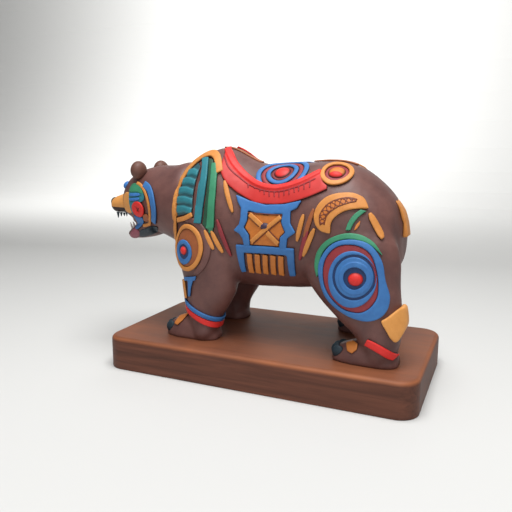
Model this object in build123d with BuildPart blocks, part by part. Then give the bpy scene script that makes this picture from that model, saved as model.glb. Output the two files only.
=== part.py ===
from build123d import *
import math
import os

os.makedirs("parts", exist_ok=True)

# A carved bear walking on a wooden plinth. Millimetres, +Z up, +X towards the rump,
# origin at the centre of the plinth's underside. The bear is nearly symmetric about Y = 0.
PLINTH_LENGTH = 300
PLINTH_WIDTH = 156
PLINTH_HEIGHT = 32
CORNER_RADIUS = 20
TOP_EDGE_RADIUS = 4

RELIEF = 2.4  # height of the raised ornaments above the carved surface
HIGH_RELIEF = 3.4  # height of the ornaments that lie over others
STRIP = 4  # width of a plain raised slash

SCREW_RADIUS = 2.2
SCREW_HEAD_RADIUS = 4.4
SCREW_LENGTH = 44
SCREW_RECESS = 1.5
DOWEL_RADIUS = 5
DOWEL_LENGTH = 30
EAR_RADIUS = 9.5
MOUTH_REACH = 45  # half the width of the cutter that opens the mouth
TOOTH_TAPER = 0.8  # share of a tooth's radius lost by its tip
HEEL_REACH = 33  # how far from the middle plane a heel leaf begins
HEEL_RELIEF = 5
MASK_RELIEF = 1.5
SPINE_RELIEF = 1.5

FAR_HIND_STEP = 18  # the right hind leg stands this much further forward
FAR_FORE_STEP = 4
FAR_HIP_SHIFT = (-11, -3)  # along X and Z, of the right hip's ornaments

# (x, lowest z, highest z, half width) of each oval cross-section
TORSO_STATIONS = [
    (-101, 118, 170, 16),
    (-95, 102, 187, 32),
    (-84, 90, 201, 42),
    (-70, 84, 208.5, 48),
    (-52, 81, 213.5, 51),
    (-35, 80, 209, 52),
    (-16, 80, 200, 51),
    (3, 81, 198, 51),
    (23, 82, 199, 51),
    (43, 84, 201, 52),
    (60, 86, 201.5, 53),
    (78, 89, 198, 53),
    (95, 92, 188, 50),
    (108, 97, 176, 44),
    (116, 104, 164.5, 34),
    (121.5, 115, 150, 19),
]
NECK_STATIONS = [
    (-88, 112, 197, 40),
    (-105, 118, 197, 38),
    (-118, 123, 196, 35),
    (-132, 127, 195, 32),
    (-145, 130, 192, 29),
    (-156, 133, 187.5, 24.5),
    (-164, 138, 181.5, 19.5),
    (-168.5, 144, 176, 14),
]
MUZZLE_STATIONS = [
    (-158, 143, 172, 18),
    (-168, 144.5, 168, 15),
    (-179, 144.5, 164.5, 12),
    (-187, 145.5, 161.5, 9.5),
    (-190, 148, 160, 7),
]
JAW_STATIONS = [
    (-128, 125, 150, 26),
    (-142, 120.5, 144, 21.5),
    (-154, 118.5, 137, 17),
    (-163, 118.5, 130, 12.5),
    (-168, 120, 127, 8),
]
# (x, half width, height) of each paw section, toes first; a paw's middle is level with the plinth's top
FORE_PAW_STATIONS = [(-98, 7.5, 9), (-94, 11, 13.5), (-86, 14, 17.5), (-76, 15, 21), (-64, 15, 22),
                     (-53, 14, 18), (-46, 10.5, 12), (-42.5, 6, 7)]
HIND_PAW_STATIONS = [(72, 7, 8), (76, 11, 12), (84, 14, 16), (94, 15.5, 19.5), (107, 16, 21),
                     (118, 15, 18), (125, 12, 13), (129, 6, 7)]
FORE_PAW_Y = 37.5
HIND_PAW_Y = 41
# (z, front x, back x, centre y, half width) of each leg section, from the ground up
FORELEG_STATIONS = [
    (PLINTH_HEIGHT, -72, -47, 38, 13),
    (50, -74, -42, 38, 14.5),
    (58, -75.5, -38, 38, 15),
    (70, -77, -30.5, 38, 17),
    (82, -79, -25.5, 37.5, 18.5),
    (95, -81.5, -23.5, 37, 19.5),
    (110, -86, -23, 36.5, 20.5),
    (130, -86.5, -26, 35, 20.5),
    (150, -82, -30, 33, 18.5),
    (165, -75, -36, 31, 15),
]
HINDLEG_STATIONS = [
    (PLINTH_HEIGHT, 97, 124, 42, 14),
    (48, 95, 128.5, 41.5, 16),
    (56, 89, 130, 41, 16.5),
    (68, 75, 130.5, 40, 18),
    (80, 62, 129, 39, 20),
    (95, 49, 127, 38, 21.5),
    (115, 42, 126, 36, 22.5),
    (135, 44, 121, 34, 22),
    (152, 53, 111, 30, 18),
]

FLANK = Plane(origin=(0, 0, 0), x_dir=(1, 0, 0), z_dir=(0, -1, 0))
SHOULDER = Plane(origin=(0, 0, 0), x_dir=(0.92, -0.39, 0), z_dir=(-0.39, -0.92, 0))
SADDLE_TILT = (0, -0.57, 0.82)
REACH = 90  # how far an ornament's outline is carried outwards before it is trimmed to the body


def across(stations, grow=0):
    with BuildPart() as body:
        for x, low, high, half in stations:
            with BuildSketch(Plane.YZ.offset(x)):
                with Locations((0, (low + high) / 2)):
                    Ellipse(half + grow, (high - low) / 2 + grow)
        loft()
    return body.part


def upward(stations, side, step=0, grow=0):
    with BuildPart() as body:
        for z, front, back, mid, half in stations:
            with BuildSketch(Plane.XY.offset(z)):
                with Locations(((front + back) / 2 - step, side * mid)):
                    Ellipse((back - front) / 2 + grow, half + grow)
        loft()
    return body.part


def paw(stations, y, step=0, grow=0):
    with BuildPart() as body:
        for x, half, height in stations:
            with BuildSketch(Plane.YZ.offset(x - step)):
                with Locations((y, PLINTH_HEIGHT)):
                    Ellipse(half + grow, height + grow)
        loft()
        split(bisect_by=Plane.XY.offset(PLINTH_HEIGHT))
    return body.part


def leg(stations, paw_stations, paw_y, side, step=0, grow=0):
    with BuildPart() as body:
        add(upward(stations, side, step, grow))
        add(paw(paw_stations, side * paw_y, step, grow))
        split(bisect_by=Plane.XY.offset(PLINTH_HEIGHT))
    return body.part


def foreleg(side, grow=0):
    step = FAR_FORE_STEP if side > 0 else 0
    return leg(FORELEG_STATIONS, FORE_PAW_STATIONS, FORE_PAW_Y, side, step, grow)


def hind_leg(side, grow=0):
    step = FAR_HIND_STEP if side > 0 else 0
    return leg(HINDLEG_STATIONS, HIND_PAW_STATIONS, HIND_PAW_Y, side, step, grow)


def ellipsoid(centre, radii):
    with BuildPart() as blob:
        Sphere(1)
        scale(by=radii)
    return blob.part.moved(Location(centre))


def rod(start, direction, radius, length):
    with BuildPart() as bar:
        with BuildSketch(Plane(origin=start, z_dir=direction)):
            Circle(radius)
        extrude(amount=length)
    return bar.part


def finish(builder, name):
    builder.part.label = name
    export_step(builder.part, f"parts/{name}.step")


# ---------------------------------------------------------------- plinth and its screws
SCREW_PLACES = [(-62, -FORE_PAW_Y), (-66, FORE_PAW_Y), (110, -HIND_PAW_Y), (92, HIND_PAW_Y)]

with BuildPart() as plinth_screws:
    with Locations([(x, y, SCREW_RECESS) for x, y in SCREW_PLACES]):
        Cylinder(SCREW_RADIUS, SCREW_LENGTH, align=(Align.CENTER, Align.CENTER, Align.MIN))
        Cone(SCREW_HEAD_RADIUS, SCREW_RADIUS, SCREW_HEAD_RADIUS - SCREW_RADIUS,
             align=(Align.CENTER, Align.CENTER, Align.MIN))
finish(plinth_screws, "plinth_screws")

with BuildPart() as plinth:
    with BuildSketch():
        RectangleRounded(PLINTH_LENGTH, PLINTH_WIDTH, CORNER_RADIUS)
    extrude(amount=PLINTH_HEIGHT)
    fillet(plinth.faces().sort_by(Axis.Z)[-1].edges(), TOP_EDGE_RADIUS)
    fillet(plinth.faces().sort_by(Axis.Z)[0].edges(), 1)
    add(plinth_screws.part, mode=Mode.SUBTRACT)
    with Locations([(x, y) for x, y in SCREW_PLACES]):
        Cylinder(SCREW_HEAD_RADIUS, SCREW_RECESS, align=(Align.CENTER, Align.CENTER, Align.MIN),
                 mode=Mode.SUBTRACT)
finish(plinth, "plinth")

# ---------------------------------------------------------------- dowels inside the bear
with BuildPart() as leg_dowels:
    for x, y, z in [(-54, -32, 125), (-58, 2, 125), (82, -32, 125), (66, 2, 125)]:
        add(rod((x, y, z), (0, 1, 0), DOWEL_RADIUS, DOWEL_LENGTH))
finish(leg_dowels, "leg_dowels")

with BuildPart() as neck_dowel:
    add(rod((-122, 0, 156), (1, 0, 0), DOWEL_RADIUS * 1.6, 2 * DOWEL_LENGTH))
finish(neck_dowel, "neck_dowel")

# ---------------------------------------------------------------- legs, torso and head
LEG_SHAPES = {
    "foreleg_left": foreleg(-1),
    "foreleg_right": foreleg(1),
    "hind_leg_left": hind_leg(-1),
    "hind_leg_right": hind_leg(1),
}
TORSO_SHAPE = across(TORSO_STATIONS)

for name, shape in LEG_SHAPES.items():
    with BuildPart() as carved_leg:
        add(shape)
        add(leg_dowels.part, mode=Mode.SUBTRACT)
        add(plinth_screws.part, mode=Mode.SUBTRACT)
    finish(carved_leg, name)

with BuildPart() as torso:
    add(TORSO_SHAPE)
    for shape in LEG_SHAPES.values():
        add(shape, mode=Mode.SUBTRACT)
    add(leg_dowels.part, mode=Mode.SUBTRACT)
    add(neck_dowel.part, mode=Mode.SUBTRACT)
finish(torso, "torso")


def head_shape(grow=0):
    with BuildPart() as shape:
        add(across(NECK_STATIONS, grow))
        add(across(JAW_STATIONS, grow))
    return shape.part


with BuildPart() as mouth:
    with BuildSketch(FLANK):
        with BuildLine():
            RadiusArc((-153, 142), (-156, 136), -4)
            Polyline((-156, 136), (-166, 128.5), (-200, 124), (-200, 146), (-162, 145.5), (-153, 142))
        make_face()
    extrude(amount=MOUTH_REACH, both=True)

HEAD_SHAPE = head_shape()
with BuildPart() as head:
    add(HEAD_SHAPE)
    add(mouth.part, mode=Mode.SUBTRACT)
    add(TORSO_SHAPE, mode=Mode.SUBTRACT)
    add(neck_dowel.part, mode=Mode.SUBTRACT)
finish(head, "head")

with BuildPart() as muzzle:
    add(across(MUZZLE_STATIONS))
    add(HEAD_SHAPE, mode=Mode.SUBTRACT)
    add(mouth.part, mode=Mode.SUBTRACT)
finish(muzzle, "muzzle")

with BuildPart() as nose:
    add(ellipsoid((-189.5, 0, 156.5), (4.2, 6, 4.6)))
    add(muzzle.part, mode=Mode.SUBTRACT)
finish(nose, "nose")

for name, side in (("ear_left", -1), ("ear_right", 1)):
    with BuildPart() as ear:
        add(ellipsoid((-143, side * 20.5, 191), (EAR_RADIUS * 0.8, EAR_RADIUS, EAR_RADIUS)))
        add(HEAD_SHAPE, mode=Mode.SUBTRACT)
    finish(ear, name)

with BuildPart() as eyes:
    for side in (-1, 1):
        add(ellipsoid((-162, side * 12, 174.5), (6, 5, 5)))
    add(HEAD_SHAPE, mode=Mode.SUBTRACT)
    add(muzzle.part, mode=Mode.SUBTRACT)
finish(eyes, "eyes")


UPPER_TEETH = [(-181, 7.5, 146, 1.8, 6.5), (-175, 10, 146, 1.6, 4.5), (-170, 11.5, 146, 1.6, 4)]
LOWER_TEETH = [(-163.5, 6, 126.5, 1.8, 9), (-159, 9, 131, 1.6, 6)]


def teeth(places, direction):
    with BuildPart() as row:
        for x, y, z, radius, length in places:
            taper = math.degrees(math.atan(TOOTH_TAPER * radius / length))
            for side in (-1, 1):
                with BuildSketch(Plane(origin=(x, side * y, z), z_dir=direction)) as root:
                    Circle(radius)
                extrude(root.sketch, amount=length, taper=taper)
    return row.part


with BuildPart() as upper_teeth:
    add(teeth(UPPER_TEETH, (0, 0, -1)))
    add(muzzle.part, mode=Mode.SUBTRACT)
    add(HEAD_SHAPE, mode=Mode.SUBTRACT)
finish(upper_teeth, "upper_teeth")

with BuildPart() as lower_teeth:
    add(teeth(LOWER_TEETH, (-0.35, 0, 1)))
    add(head.part, mode=Mode.SUBTRACT)
finish(lower_teeth, "lower_teeth")

with BuildPart() as tail:
    with BuildSketch(FLANK):
        with BuildLine():
            Spline((110, 171), (118.5, 163), (123.5, 151), (126, 137))
            Polyline((126, 137), (119, 136), (110, 142), (102, 160), (110, 171))
        make_face()
    extrude(amount=8, both=True)
    add(TORSO_SHAPE, mode=Mode.SUBTRACT)
finish(tail, "tail")

CLAW_OFFSETS = [-9, -3, 3, 9]
with BuildPart() as claws:
    for side in (-1, 1):
        fore_x = -95 - (FAR_FORE_STEP if side > 0 else 0)
        hind_x = 75.5 - (FAR_HIND_STEP if side > 0 else 0)
        for offset in CLAW_OFFSETS:
            back = 0.035 * offset**2
            for x, y in ((fore_x, FORE_PAW_Y), (hind_x, HIND_PAW_Y)):
                add(ellipsoid((x + back, side * y + offset, PLINTH_HEIGHT + 8), (5.5, 2.6, 6)))
    for shape in LEG_SHAPES.values():
        add(shape, mode=Mode.SUBTRACT)
finish(claws, "claws")


# ---------------------------------------------------------------- raised ornaments
SHAPES_UNDER = {}


def shape_under(kind, hand, grow=0):
    """The carved surface under an ornament, or the same surface raised by grow."""
    key = (kind, hand, grow)
    if key not in SHAPES_UNDER:
        with BuildPart() as shape:
            if kind in ("torso", "neck joint", "shoulder", "hip"):
                add(across(TORSO_STATIONS, grow))
            if kind in ("head", "neck joint"):
                add(head_shape(grow))
            if kind in ("foreleg", "neck joint", "shoulder"):
                add(foreleg(hand, grow))
            if kind in ("hind leg", "hip"):
                add(hind_leg(hand, grow))
        SHAPES_UNDER[key] = shape.part
    return SHAPES_UNDER[key]


def outline(*points, mode=Mode.ADD):
    with BuildLine() as edge:
        Polyline(*points, close=True)
    make_face(edge.edges(), mode=mode)


def between(first, second):
    """A figure between two flowing edges, the second run back towards the start of the first."""
    with BuildLine() as edge:
        Spline(*first)
        Line(first[-1], second[0])
        Spline(*second)
        Line(second[-1], first[0])
    make_face(edge.edges())


def strip(points, width=STRIP):
    with BuildLine() as middle:
        if len(points) > 2:
            Spline(*points)
        else:
            Polyline(*points)
    trace(middle.line, line_width=width)


def ring(centre, outer, inner):
    with Locations(centre):
        Ellipse(*outer)
        Ellipse(*inner, mode=Mode.SUBTRACT)


def column(plane, draw):
    with BuildPart() as prism:
        with BuildSketch(plane):
            draw()
        extrude(amount=REACH)
    return prism.part


def trimmed(prism, hand, under, rise, cut):
    with BuildPart() as piece:
        add(prism)
        add(shape_under(under, hand, rise), mode=Mode.INTERSECT)
        add(shape_under(under, hand), mode=Mode.SUBTRACT)
        if cut is not None:
            add(cut, mode=Mode.SUBTRACT)
    return piece.part


def relief(name, draw, plane=FLANK, under="torso", rise=RELIEF, far_shift=(0, 0), cut=None):
    """A raised ornament and its mirror image on the far side, trimmed to the carved surface."""
    prism = column(plane, draw)
    far_prism = prism.mirror(Plane.XZ).moved(Location((far_shift[0], 0, far_shift[1])))
    left = trimmed(prism, -1, under, rise, cut)
    right = trimmed(far_prism, 1, under, rise, cut)
    with BuildPart() as pair:
        add(left)
        add(right)
    finish(pair, name)
    return pair.part


def saddle_plane(x, y, z):
    return Plane(origin=(x, y, z), x_dir=(1, 0, 0), z_dir=SADDLE_TILT)


# ---- neck and shoulder: a collar over the neck joint, and feathers that hang inside it
COLLAR_LINE = [(-90.5, 125), (-89, 137), (-88.6, 150), (-88, 164), (-86.5, 177), (-82.5, 189), (-74.5, 200),
               (-65, 206.5), (-56, 207.5), (-49, 204), (-44, 197.5), (-40.5, 190)]
LADDER_LEFT = [(-84, 149), (-85, 162), (-83.5, 174), (-80, 184), (-76, 192), (-69, 199)]
LADDER_RIGHT = [(-63.2, 196), (-63, 190), (-63.3, 181), (-63.7, 168), (-62.8, 158), (-65, 153.5)]
FOOT_LINE = [(-83, 145.5), (-74, 148), (-62.5, 152)]
BLUE_FEATHER_LEFT = [(-60.3, 144.5), (-59.6, 156.5), (-59, 173), (-59.2, 186), (-60.2, 194), (-62.5, 200)]
BLUE_FEATHER_RIGHT = [(-57, 202), (-54.5, 196.5), (-51.5, 186), (-50.6, 173), (-51.6, 156.5), (-52.9, 144.7)]
GREEN_FEATHER_LEFT = [(-47.9, 140.2), (-46.4, 157), (-46.8, 173.3), (-48.3, 186), (-51.5, 198)]
GREEN_FEATHER_RIGHT = [(-46.5, 198), (-43.5, 192), (-41.2, 184), (-39.5, 173.5), (-38.8, 155),
                       (-39.4, 142.4)]


def ladder():
    between(LADDER_LEFT, LADDER_RIGHT)
    with Locations([(-85, 160 + 9 * step) for step in range(3)]):
        Rectangle(6, 2.2, mode=Mode.SUBTRACT)


collar_band = relief("collar_band", lambda: strip(COLLAR_LINE, 5), under="neck joint", rise=HIGH_RELIEF)
relief("feather_ladder", ladder, under="shoulder", cut=collar_band)
relief("feather_foot", lambda: strip(FOOT_LINE, 4.4), under="shoulder", cut=collar_band)
relief("feather_blue", lambda: between(BLUE_FEATHER_LEFT, BLUE_FEATHER_RIGHT), under="shoulder",
       cut=collar_band)
relief("feather_green", lambda: between(GREEN_FEATHER_LEFT, GREEN_FEATHER_RIGHT), under="shoulder",
       cut=collar_band)

# ---- back: a hanging saddle cloth, a roundel on each side of the spine, and a rump roundel
SWAG_LOWER = [(-40, 189), (-29.6, 179), (-19.9, 172.7), (-10.2, 168.1), (-0.6, 164.8), (12.9, 164.1),
              (25.9, 165), (38.6, 168.3), (50.7, 172.5), (63, 178.2)]
SWAG_UPPER = [(53, 190), (42, 187.3), (34.4, 184.2), (24.8, 180.8), (14.6, 179), (4.3, 180.3), (-7.1, 184),
              (-19.1, 190.3), (-30.1, 199.3), (-38.3, 206.5), (-46, 210)]
SADDLE = saddle_plane(15.8, -24.5, 190)
RUMP = saddle_plane(67, -28.3, 191.7)


def saddle_rings():
    ring((0, 0), (25, 25), (20, 20))
    ring((0, 0), (15.5, 15.5), (11, 11))


saddle_swag = relief("saddle_swag", lambda: between(SWAG_LOWER, SWAG_UPPER), cut=collar_band)
relief("saddle_rings", saddle_rings, plane=SADDLE, cut=saddle_swag)
relief("saddle_field", lambda: ring((0, 0), (19.4, 19.4), (16.1, 16.1)), plane=SADDLE, cut=saddle_swag)
relief("saddle_dome", lambda: Circle(8.5), plane=SADDLE, rise=HIGH_RELIEF)
relief("rump_ring", lambda: ring((0, 0), (14, 15.5), (10, 11)), plane=RUMP, cut=saddle_swag)
relief("rump_dome", lambda: Ellipse(8.3, 8.6), plane=RUMP, rise=HIGH_RELIEF, cut=saddle_swag)

with BuildPart() as spine_strip:
    with BuildSketch(Plane.XY.offset(150)):
        with Locations((-34, 0), (58, 0)):
            RectangleRounded(42, 7, 3)
    extrude(amount=REACH)
    add(shape_under("torso", 0, SPINE_RELIEF), mode=Mode.INTERSECT)
    add(TORSO_SHAPE, mode=Mode.SUBTRACT)
finish(spine_strip, "spine_strip")

# ---- belly: a notched frame round a quilted panel, above a gate with five bars
FRAME_OUTLINE = [(-21.4, 171), (-14.5, 160), (-14, 152), (-15.2, 146), (-20.5, 140.4), (-14.7, 137.8),
                 (-11.2, 133), (-10.8, 128.5), (-4.7, 128.5), (-5.6, 137.5), (-10.6, 143.4), (-7.4, 149.7),
                 (-7.2, 158.2), (8.7, 156.2), (26.2, 156.6), (25.2, 149.7), (29.3, 141.2), (24.5, 136.8),
                 (23.3, 128.5), (29.8, 128.5), (31.4, 136.5), (39.2, 141.8), (33.8, 149.4), (33.3, 159.6),
                 (38.7, 161.8), (42.5, 168), (26, 164.2), (9, 163.2), (-7, 166)]
PANEL_OUTLINE = [(-6.4, 156.8), (8.7, 155.4), (25.4, 155.8), (24.4, 149.5), (28.4, 141.4), (23.8, 137),
                 (22.5, 129.5), (-4, 129.5), (-4.8, 137.7), (-9.6, 143.4), (-6.6, 149.8)]
GATE_OUTLINE = [(-19, 127.8), (37.2, 127.8), (34.6, 100.8), (28.9, 100.4), (29.8, 121.3), (-11.5, 121),
                (-13.4, 101), (-18.8, 100.4)]
BAR_PLACES = [(-6, -7.8), (1.7, -1), (9.3, 6.3), (16.9, 13.9), (24.2, 21.4)]  # top and bottom x of each bar


def gate_bars():
    for top, bottom in BAR_PLACES:
        strip([(top, 120), (bottom, 101)], 5)


relief("belly_frame", lambda: outline(*FRAME_OUTLINE), cut=saddle_swag)
relief("belly_panel", lambda: outline(*PANEL_OUTLINE))
relief("gate", lambda: outline(*GATE_OUTLINE))
relief("gate_bars", gate_bars)

# ---- slashes between the larger figures
CHEST_SLASHES = [[(-49, 137.8), (-40.8, 123)], [(-42.4, 137.5), (-33.2, 120.3)]]
FLANK_SLASHES = [[(-34, 181), (-28.5, 169.5), (-22.5, 157.5)], [(45.3, 156), (40.4, 136)],
                 [(55.2, 144.5), (51.5, 134.5), (45.6, 123)]]
RED_SLASHES = [[(-36.3, 147), (-32, 133.5), (-26, 118)], [(53.5, 160), (49, 142.5), (42, 121)]]


def slashes(lines):
    for line in lines:
        strip(line, 3.5)


relief("chest_slashes", lambda: slashes(CHEST_SLASHES), under="shoulder")
relief("flank_slashes", lambda: slashes(FLANK_SLASHES))
relief("red_slashes", lambda: slashes(RED_SLASHES), under="shoulder")

# ---- flank and hip: a crescent and a stem above a large roundel on the thigh
CRESCENT_OUTER = [(69, 143.2), (62, 145), (56.6, 149.5), (54.8, 156.7), (56.3, 163.4), (61, 169.5),
                  (66.8, 173.2), (73.7, 175), (82, 175.4), (89, 173.5), (94, 170), (97.8, 163.5)]
CRESCENT_INNER = [(90.8, 163.5), (84, 162.7), (78.4, 160.5), (72.9, 156.3), (70.2, 151.3), (69.9, 144.5)]
STEM_FRONT = [(82.6, 147), (84.2, 152.5), (87.9, 159), (92, 162)]
STEM_BACK = [(96.8, 161), (92.6, 158), (88.7, 152.4), (86.6, 147)]
HIP_OUTER = [(61.8, 108), (63.5, 122), (73, 134.5), (88, 138.8), (103, 135), (112.5, 122.5), (116, 107),
             (120, 91.5), (116.3, 78.5), (104, 73), (85, 77.3), (69, 89)]
HIP_INNER = [(65.8, 108), (68, 122.5), (77.5, 132.8), (92, 134.6), (104.5, 128.5), (111, 116), (113.8, 103),
             (115, 92), (109.8, 82.3), (99, 78), (82.5, 82.3), (70, 94)]
RED_OUTER = [(66.5, 108), (68.6, 122), (78, 132.1), (92, 133.9), (104, 128), (110.4, 115.8), (113.2, 103),
             (114.2, 92.3), (109.3, 83), (99, 78.8), (82.9, 83), (70.7, 94.4)]
ARC_OUTER = [(59, 108), (57.3, 116), (59, 126), (65, 135), (74, 141), (83.5, 143.8), (92, 143.5),
             (99.5, 140.8), (107, 135.5), (112.8, 127.5)]
ARC_INNER = [(105.5, 133.8), (98, 137.6), (88, 139.5), (80, 138.5), (72.5, 135.2), (65.8, 128.8),
             (62.2, 120), (61.1, 110)]
TARGET_CENTRE = (90.4, 106.8)
GROOVE_CENTRE = (92.1, 108.7)
BOSS_CENTRE = (93.6, 107.3)


def loop(points, mode=Mode.ADD):
    with BuildLine() as edge:
        Spline(*points, periodic=True)
    make_face(edge.edges(), mode=mode)


def oval(centre, radii, mode=Mode.ADD):
    with Locations(centre):
        Ellipse(*radii, mode=mode)


def hip_rings():
    loop(HIP_OUTER)
    loop(HIP_INNER, mode=Mode.SUBTRACT)
    oval(TARGET_CENTRE, (19.3, 23.2))
    oval(GROOVE_CENTRE, (16.8, 18.2), mode=Mode.SUBTRACT)
    oval(GROOVE_CENTRE, (15.6, 17))
    oval(BOSS_CENTRE, (9.2, 9.4), mode=Mode.SUBTRACT)


def hip_red_ring():
    loop(RED_OUTER)
    oval(TARGET_CENTRE, (19.9, 23.8), mode=Mode.SUBTRACT)


crescent = relief("crescent", lambda: between(CRESCENT_OUTER, CRESCENT_INNER))
relief("stem", lambda: between(STEM_FRONT, STEM_BACK), cut=crescent)
relief("rump_slash", lambda: slashes([[(99.9, 158.5), (110.5, 141)]]), under="hip")
relief("hip_arc", lambda: between(ARC_OUTER, ARC_INNER), under="hip", far_shift=FAR_HIP_SHIFT,
       cut=crescent)
relief("hip_rings", hip_rings, under="hip", far_shift=FAR_HIP_SHIFT)
relief("hip_red_ring", hip_red_ring, under="hip", far_shift=FAR_HIP_SHIFT)
relief("hip_dome", lambda: oval(BOSS_CENTRE, (7, 6.4)), under="hip", rise=HIGH_RELIEF,
       far_shift=FAR_HIP_SHIFT)

# ---- shoulder roundel and the marks down the foreleg
SHOULDER_CENTRE = (-42, 121.5)
SHOULDER_DISC_CENTRE = (-44, 117.4)
SHOULDER_DOME_CENTRE = (-43.3, 119)
TEE_OUTLINE = [(-72, 93), (-57, 96), (-57.9, 92.1), (-60.8, 91), (-63.5, 83.5), (-65.5, 76.5), (-68, 76.3),
               (-67, 84), (-67, 90.3), (-72, 89.4)]
HEEL_OUTLINE = [(116, 75), (124.5, 81), (131, 84.5), (134.5, 77), (132, 62), (127.5, 56.5), (123, 61),
                (119, 68)]


def shoulder_disc():
    oval(SHOULDER_DISC_CENTRE, (10, 11.3))
    oval(SHOULDER_DOME_CENTRE, (5.4, 5.4), mode=Mode.SUBTRACT)


def shoulder_ring():
    oval(SHOULDER_CENTRE, (18.2, 21.8))
    oval(SHOULDER_CENTRE, (14.4, 17.6), mode=Mode.SUBTRACT)


relief("shoulder_ring", shoulder_ring, plane=SHOULDER, under="shoulder")
relief("shoulder_disc", shoulder_disc, plane=SHOULDER, under="shoulder")
relief("shoulder_dome", lambda: oval(SHOULDER_DOME_CENTRE, (4.8, 4.8)), plane=SHOULDER, under="shoulder",
       rise=HIGH_RELIEF)
relief("foreleg_tee", lambda: outline(*TEE_OUTLINE), under="foreleg")
relief("foreleg_bar", lambda: strip([(-74.5, 89), (-74, 72)], 3.6), under="foreleg")
relief("hind_strap", lambda: strip([(105, 54.5), (114, 50.5), (125, 42.5)], 5), under="hind leg",
       far_shift=(-FAR_HIND_STEP, 0))
relief("heel_leaves", lambda: loop(HEEL_OUTLINE), plane=FLANK.offset(HEEL_REACH), under="hind leg",
       rise=HEEL_RELIEF, far_shift=(-FAR_HIND_STEP - HEEL_RELIEF, 0))


# ---- ankle bands: each goes right round both forelegs, sloping down towards the heel
def ankle_slab(side, z, thickness):
    with BuildPart() as slab:
        with BuildSketch(Plane(origin=(-60, side * FORE_PAW_Y, z), z_dir=(0.4, 0, 0.92))):
            Rectangle(80, 60)
        extrude(amount=thickness)
        add(shape_under("foreleg", side, RELIEF), mode=Mode.INTERSECT)
        add(shape_under("foreleg", side), mode=Mode.SUBTRACT)
    return slab.part


for name, z, thickness in (("ankle_band_blue", 58.5, 4.5), ("ankle_band_red", 52, 5.5)):
    left_slab = ankle_slab(-1, z, thickness)
    right_slab = ankle_slab(1, z, thickness)
    with BuildPart() as ankle_band:
        add(left_slab)
        add(right_slab)
    finish(ankle_band, name)

# ---- face: a band behind the cheek, a feathered mask, a cheek roundel
MASK_OUTLINE = [(-153, 180), (-139, 180), (-133, 174), (-133, 167), (-139, 163), (-145.5, 162), (-147, 150),
                (-152, 148), (-155, 160), (-156, 172)]

HEAD_BAND_LINE = [(-129, 181), (-119, 168), (-117.5, 150), (-121, 137)]
HEAD_TRIM_LINE = [(-138, 181), (-130, 174), (-125.5, 164), (-124.5, 152), (-127, 139)]

relief("head_band", lambda: strip(HEAD_BAND_LINE, 5.5), under="head")
relief("head_trim", lambda: strip(HEAD_TRIM_LINE, 2), under="head")
relief("face_mask", lambda: outline(*MASK_OUTLINE), under="head", rise=MASK_RELIEF)
relief("cheek_roundel", lambda: oval((-137.5, 153.5), (7, 7.5)), under="head")
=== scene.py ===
import math

import bmesh
import bpy
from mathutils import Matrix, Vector, noise
from mathutils.bvhtree import BVHTree
from mathutils.kdtree import KDTree


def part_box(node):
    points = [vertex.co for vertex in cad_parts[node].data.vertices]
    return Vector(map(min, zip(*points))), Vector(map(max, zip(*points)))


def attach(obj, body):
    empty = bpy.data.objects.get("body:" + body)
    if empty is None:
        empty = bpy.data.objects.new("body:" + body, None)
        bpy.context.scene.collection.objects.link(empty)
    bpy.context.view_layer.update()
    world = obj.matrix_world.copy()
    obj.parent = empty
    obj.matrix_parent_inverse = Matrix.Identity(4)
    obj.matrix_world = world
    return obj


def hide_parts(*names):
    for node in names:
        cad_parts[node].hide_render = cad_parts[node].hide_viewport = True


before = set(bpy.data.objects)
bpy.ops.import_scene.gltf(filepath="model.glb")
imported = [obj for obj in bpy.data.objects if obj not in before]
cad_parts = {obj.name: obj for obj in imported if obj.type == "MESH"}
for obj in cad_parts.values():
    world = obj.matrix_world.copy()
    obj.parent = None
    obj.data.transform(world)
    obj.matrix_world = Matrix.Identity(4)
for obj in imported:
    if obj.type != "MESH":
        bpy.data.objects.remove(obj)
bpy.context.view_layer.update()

# ------------------------------------------------------------------ plinth
# A planed hardwood board with rounded corners and a rounded top edge, stained red-brown and waxed.
# A paler painted highlight lies in patches on the top and along its rounded edge. Four screws hold the bear
# from below.
MM = 0.001


def linear(colour):
    """A hex sRGB colour as linear red, green, blue and alpha."""
    channels = [int(colour[i:i + 2], 16) / 255 for i in (1, 3, 5)]
    return tuple(c / 12.92 if c <= 0.04045 else ((c + 0.055) / 1.055) ** 2.4 for c in channels) + (1.0,)


def add_node(tree, kind, inputs={}, links={}, **settings):
    """Adds a node, sets its properties and input values, and links its inputs to other nodes' outputs."""
    made = tree.nodes.new(kind)
    for name, value in settings.items():
        setattr(made, name, value)
    for name, value in inputs.items():
        made.inputs[name].default_value = value
    for name, source in links.items():
        tree.links.new(source, made.inputs[name])
    return made


def new_material(name):
    """A material with its node tree, its shader, and the piece's own coordinates."""
    material = bpy.data.materials.new(name)
    material.use_nodes = True
    tree = material.node_tree
    shader = tree.nodes["Principled BSDF"]
    place = tree.nodes.new("ShaderNodeTexCoord").outputs["Object"]
    return material, tree, shader, place


def mesh_of(bm, name):
    """A new mesh from the bmesh, which stays in use."""
    mesh = bpy.data.meshes.new(name)
    bm.to_mesh(mesh)
    return mesh


def finish_piece(mesh, name, material, slot, *nodes):
    """Makes the piece's object, smooth shaded, with its material and body, and hides the CAD nodes it
    stands for. Its slot is not used."""
    piece = bpy.data.objects.new(name, mesh)
    bpy.context.scene.collection.objects.link(piece)
    mesh.materials.clear()
    mesh.materials.append(material)
    for face in mesh.polygons:
        face.use_smooth = True
    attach(piece, "root")
    if nodes:
        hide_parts(*nodes)
    return piece
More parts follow.
